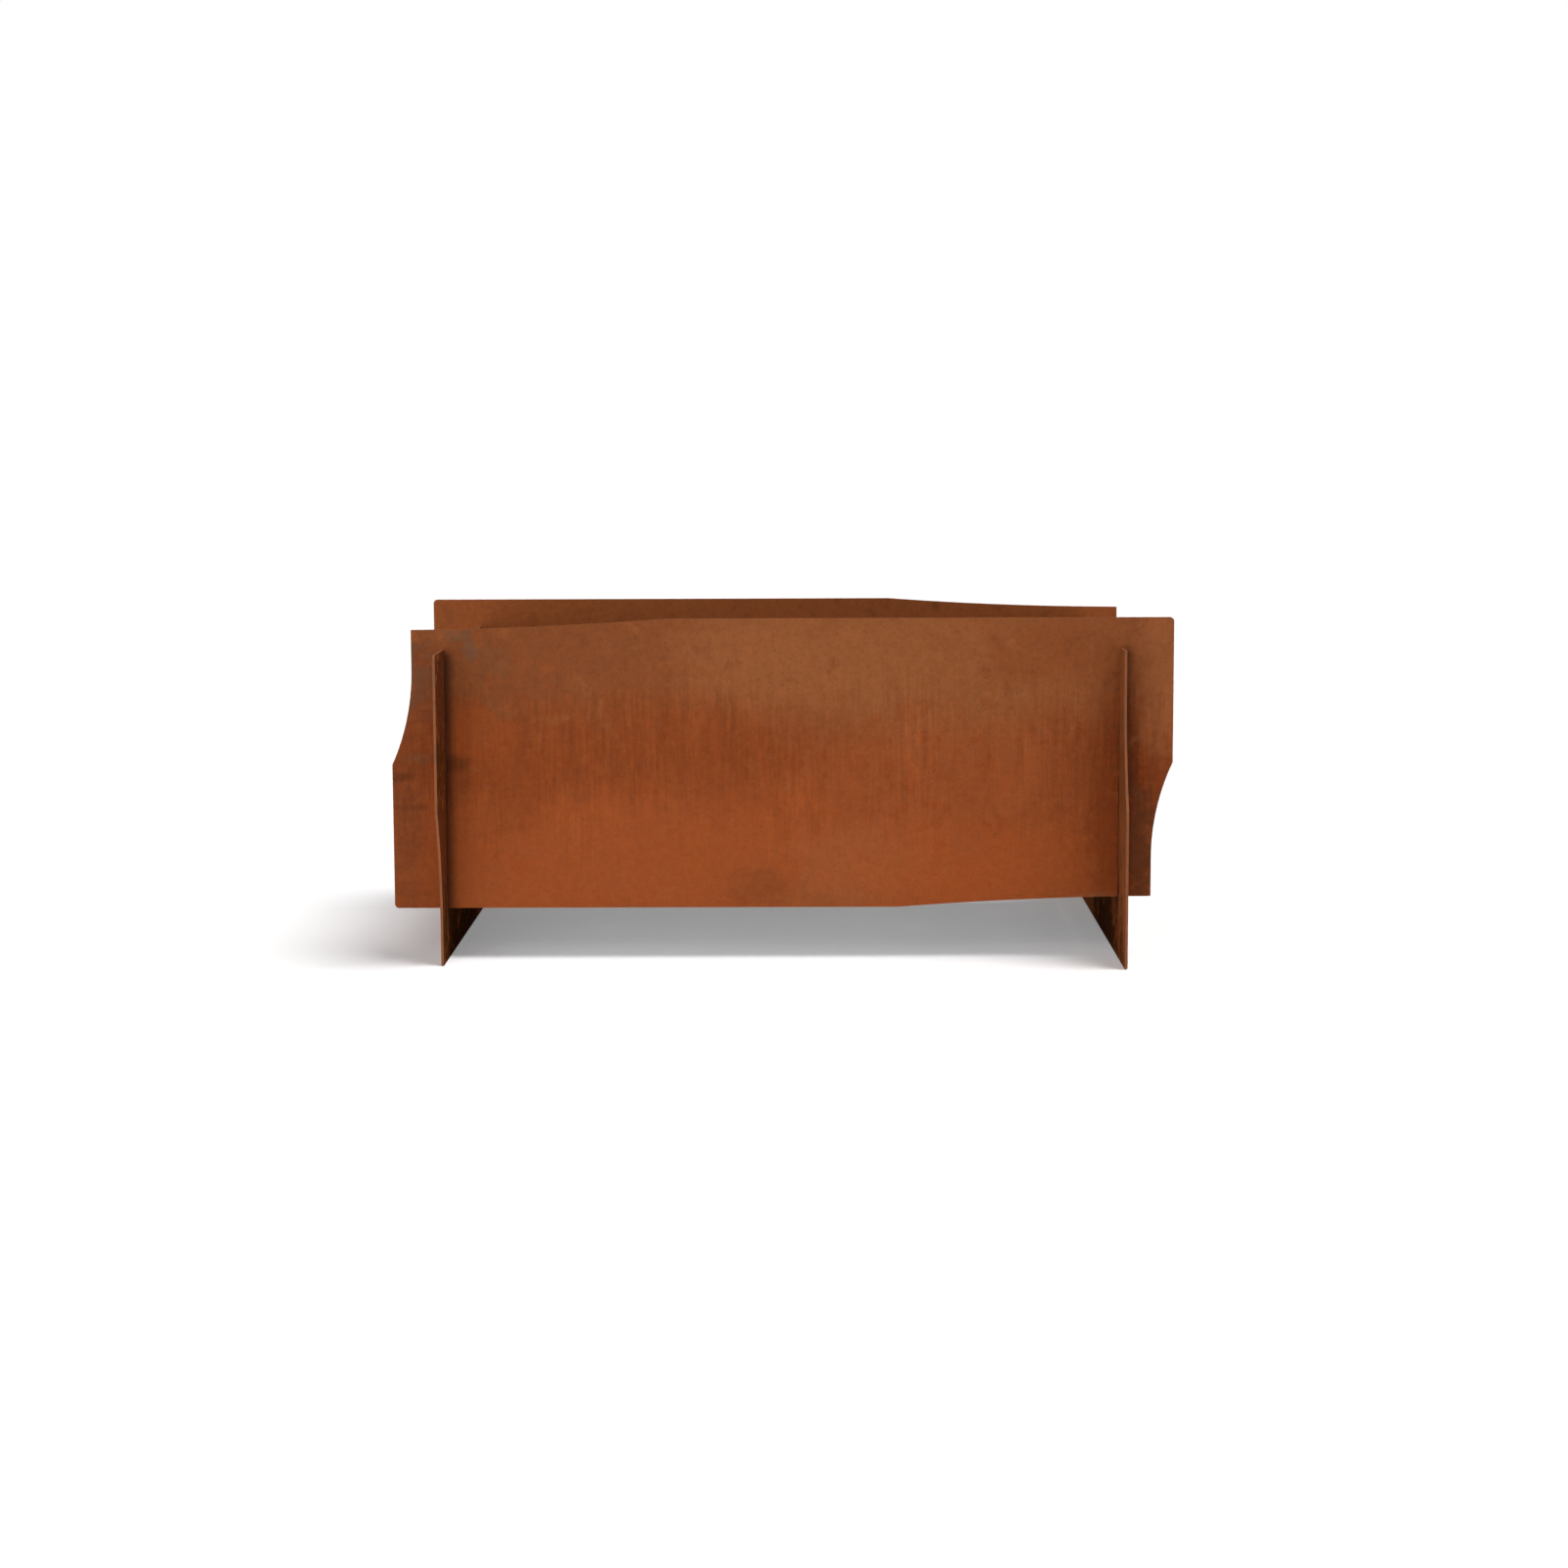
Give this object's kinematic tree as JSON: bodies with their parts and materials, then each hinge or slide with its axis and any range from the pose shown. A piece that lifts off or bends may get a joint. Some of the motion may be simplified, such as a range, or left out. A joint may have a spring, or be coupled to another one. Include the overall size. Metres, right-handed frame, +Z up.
{
  "type": "planter box",
  "caption": "Long street planter of interlocking rust-brown steel plates, stepped at opposite corners, standing on its cross plates, with a lift-out galvanised planting tub inside.",
  "frame": {"origin": "on the ground, under the centre of the planter", "axes": "+X along the long plates, +Z up, +Y towards the rear plate"},
  "size_m": [1.8, 1.15, 0.79],
  "materials": {
    "weathering_steel": "even rust-brown patina with darker blotches and faint rain streaks, matt",
    "galvanised_steel": "hot-dip galvanised, dull grey spangle",
    "stainless_steel": "satin",
    "rubber": "matt black"
  },
  "bodies": {
    "frame": {"front_plate": "weathering_steel", "rear_plate": "weathering_steel", "left_cross_plate": "weathering_steel", "right_cross_plate": "weathering_steel", "front_left_cleat": "galvanised_steel", "front_left_lower_long_nut": "stainless_steel", "front_left_lower_cross_nut": "stainless_steel", "front_left_upper_long_nut": "stainless_steel", "front_left_upper_cross_nut": "stainless_steel", "front_right_cleat": "galvanised_steel", "front_right_lower_long_nut": "stainless_steel", "front_right_lower_cross_nut": "stainless_steel", "front_right_upper_long_nut": "stainless_steel", "front_right_upper_cross_nut": "stainless_steel", "rear_left_cleat": "galvanised_steel", "rear_left_lower_long_nut": "stainless_steel", "rear_left_lower_cross_nut": "stainless_steel", "rear_left_upper_long_nut": "stainless_steel", "rear_left_upper_cross_nut": "stainless_steel", "rear_right_cleat": "galvanised_steel", "rear_right_lower_long_nut": "stainless_steel", "rear_right_lower_cross_nut": "stainless_steel", "rear_right_upper_long_nut": "stainless_steel", "rear_right_upper_cross_nut": "stainless_steel", "front_ledge": "galvanised_steel", "front_ledge_nut_1": "stainless_steel", "front_ledge_nut_2": "stainless_steel", "front_ledge_nut_3": "stainless_steel", "rear_ledge": "galvanised_steel", "rear_ledge_nut_1": "stainless_steel", "rear_ledge_nut_2": "stainless_steel", "rear_ledge_nut_3": "stainless_steel", "floor_bearer_1": "galvanised_steel", "bearer_pad_1": "rubber", "floor_bearer_2": "galvanised_steel", "bearer_pad_2": "rubber", "floor_bearer_3": "galvanised_steel", "bearer_pad_3": "rubber", "floor_bearer_4": "galvanised_steel", "bearer_pad_4": "rubber"},
    "tub": {"planting_tub": "galvanised_steel", "left_drain_spigot": "stainless_steel", "left_drain_strainer": "stainless_steel", "front_left_lifting_lug": "galvanised_steel", "rear_left_lifting_lug": "galvanised_steel", "right_drain_spigot": "stainless_steel", "right_drain_strainer": "stainless_steel", "front_right_lifting_lug": "galvanised_steel", "rear_right_lifting_lug": "galvanised_steel"}
  },
  "joints": [
    {"name": "tub_lift", "type": "slide", "parent": "frame", "child": "tub", "axis": [0, 0, 1], "range_m": [0, 0.7]}
  ]
}
